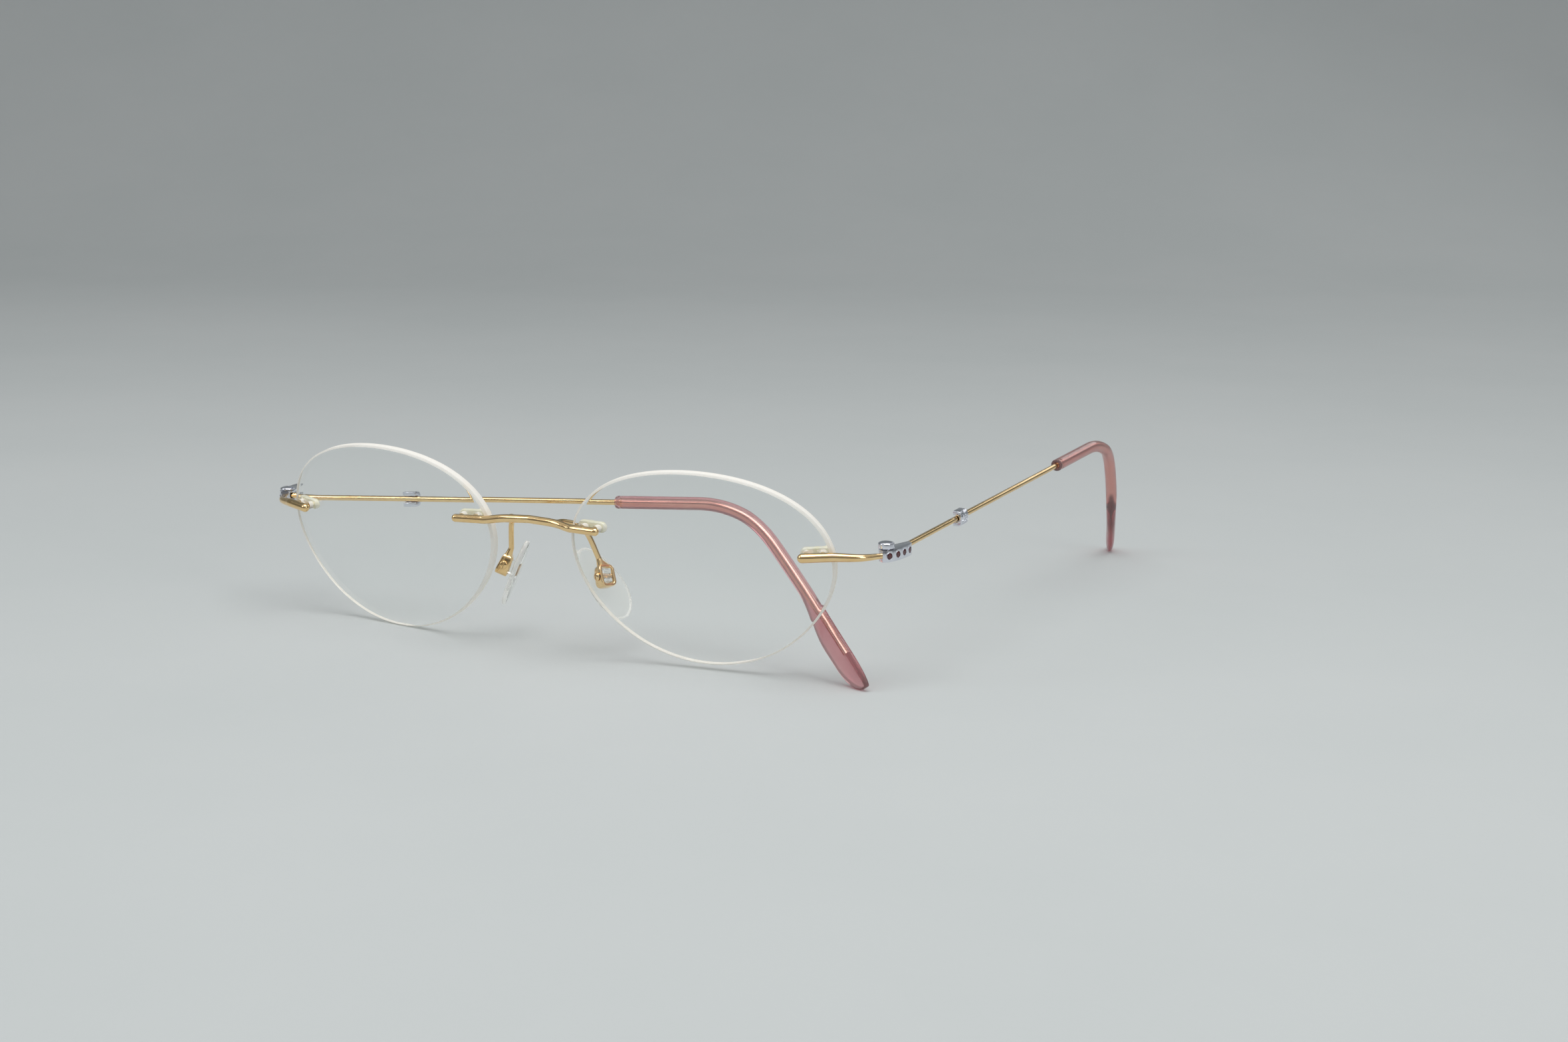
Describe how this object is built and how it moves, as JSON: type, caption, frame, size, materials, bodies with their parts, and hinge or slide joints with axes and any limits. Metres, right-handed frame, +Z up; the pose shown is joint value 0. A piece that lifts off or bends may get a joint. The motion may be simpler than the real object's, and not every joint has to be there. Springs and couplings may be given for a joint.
{
  "type": "rimless spectacles",
  "caption": "Rimless spectacles with clear oval lenses, a gold wire bridge and temples, stone-set silver hinges, clear nose pads and mauve plastic tips, one temple folded.",
  "frame": {"origin": "centre of the bounding box's bottom, on the table the frame stands on", "axes": "+X the wearer's left, +Y the wearer's back (along the open temple), +Z up"},
  "size_m": [0.1326, 0.1394, 0.0358],
  "materials": {
    "gold": "polished gold plate",
    "silver": "polished silver plate",
    "lens": "clear, edges frosted",
    "bushing": "clear with a faint yellow tint",
    "stone": "polished dark red stone",
    "tip": "polished translucent mauve",
    "pad": "clear, glossy"
  },
  "bodies": {
    "front": {"bridge": "gold", "lens_right": "lens", "bushing_nasal_right": "bushing", "bushing_temporal_right": "bushing", "end_piece_right": "gold", "hinge_housing_right": "silver", "stone_1_right": "stone", "stone_2_right": "stone", "stone_3_right": "stone", "stone_4_right": "stone", "hinge_screw_right": "silver", "pad_arm_right": "gold", "pad_screw_right": "gold", "lens_left": "lens", "bushing_nasal_left": "bushing", "bushing_temporal_left": "bushing", "end_piece_left": "gold", "hinge_housing_left": "silver", "stone_1_left": "stone", "stone_2_left": "stone", "stone_3_left": "stone", "stone_4_left": "stone", "hinge_screw_left": "silver", "pad_arm_left": "gold", "pad_screw_left": "gold"},
    "temple_right": {"temple_wire_right": "gold", "bead_right": "silver", "temple_tip_right": "tip"},
    "temple_left": {"temple_wire_left": "gold", "bead_left": "silver", "temple_tip_left": "tip"},
    "nose_pad_right": {"nose_pad_right": "pad"},
    "nose_pad_left": {"nose_pad_left": "pad"}
  },
  "joints": [
    {"name": "temple_hinge_right", "type": "hinge", "parent": "front", "child": "temple_right", "pos_m": [-0.06403, -0.05521, 0.02053], "axis": [-0.0152, -0.0001, 0.9999], "range_deg": [0, 90.5]},
    {"name": "temple_hinge_left", "type": "hinge", "parent": "front", "child": "temple_left", "pos_m": [0.06135, -0.05521, 0.02243], "axis": [-0.0152, -0.0001, 0.9999], "range_deg": [0, 76]},
    {"name": "nose_pad_rock_right", "type": "hinge", "parent": "front", "child": "nose_pad_right", "pos_m": [-0.01192, -0.05931, 0.01362], "axis": [-0.4244, 0.8996, -0.1028], "range_deg": [-8, 8]},
    {"name": "nose_pad_rock_left", "type": "hinge", "parent": "front", "child": "nose_pad_left", "pos_m": [0.00948, -0.05931, 0.01394], "axis": [0.4273, 0.8996, -0.0899], "range_deg": [-8, 8]}
  ]
}
